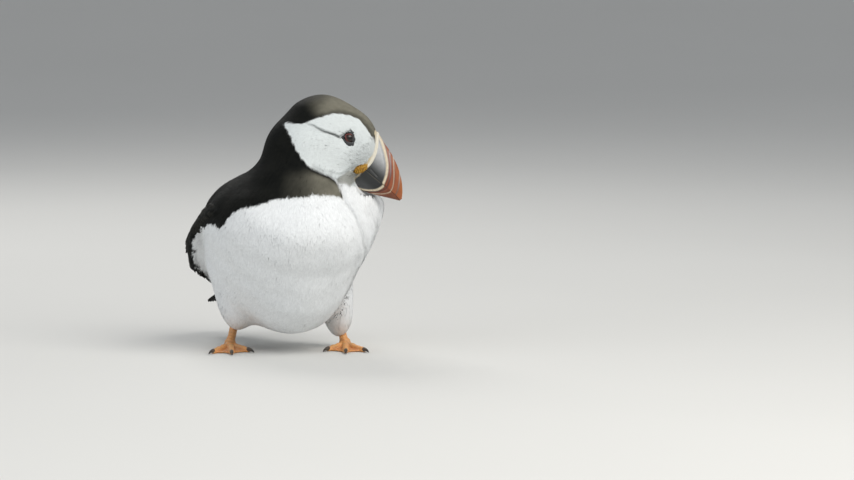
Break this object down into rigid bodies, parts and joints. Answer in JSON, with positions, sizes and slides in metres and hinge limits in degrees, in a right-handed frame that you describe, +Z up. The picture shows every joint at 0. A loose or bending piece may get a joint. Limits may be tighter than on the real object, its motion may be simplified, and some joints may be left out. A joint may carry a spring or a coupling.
{
  "type": "atlantic puffin",
  "caption": "Life-size still model of an Atlantic puffin in summer plumage, standing crouched on webbed feet with its head turned to its left.",
  "frame": {"origin": "on the floor, under the middle of the bounding box", "axes": "+Z up, -Y the way the breast faces, +X to the bird's left"},
  "size_m": [0.1118, 0.1744, 0.1607],
  "materials": {
    "plumage_white": "soft matt feathers",
    "plumage_black": "matt feathers with a faint brown sheen",
    "plumage_face": "fine matt feathers",
    "bill": "satin horn, slate blue near the face and red-orange at the tip",
    "cere": "dull horn, pale cream",
    "rosette": "wrinkled bare skin, yellow-orange",
    "eye": "wet gloss",
    "eye_plate": "horny plate, blue-grey, with the red ring of the lids",
    "foot_skin": "scaly bare skin, bright orange",
    "claw": "black horn"
  },
  "bodies": {
    "root": {"head": "plumage_face", "neck": "plumage_black", "wing_left": "plumage_black", "wing_right": "plumage_black", "tail": "plumage_black", "trunk": "plumage_white", "thigh_left": "plumage_white", "thigh_right": "plumage_white", "eye_left": "eye", "eye_plate_upper_left": "eye_plate", "eye_plate_lower_left": "eye_plate", "rosette_left": "rosette", "foot_left": "foot_skin", "claw_inner_left": "claw", "claw_middle_left": "claw", "claw_outer_left": "claw", "eye_right": "eye", "eye_plate_upper_right": "eye_plate", "eye_plate_lower_right": "eye_plate", "rosette_right": "rosette", "foot_right": "foot_skin", "claw_inner_right": "claw", "claw_middle_right": "claw", "claw_outer_right": "claw", "cere": "cere", "bill_upper": "bill", "bill_lower": "bill"}
  },
  "joints": []
}
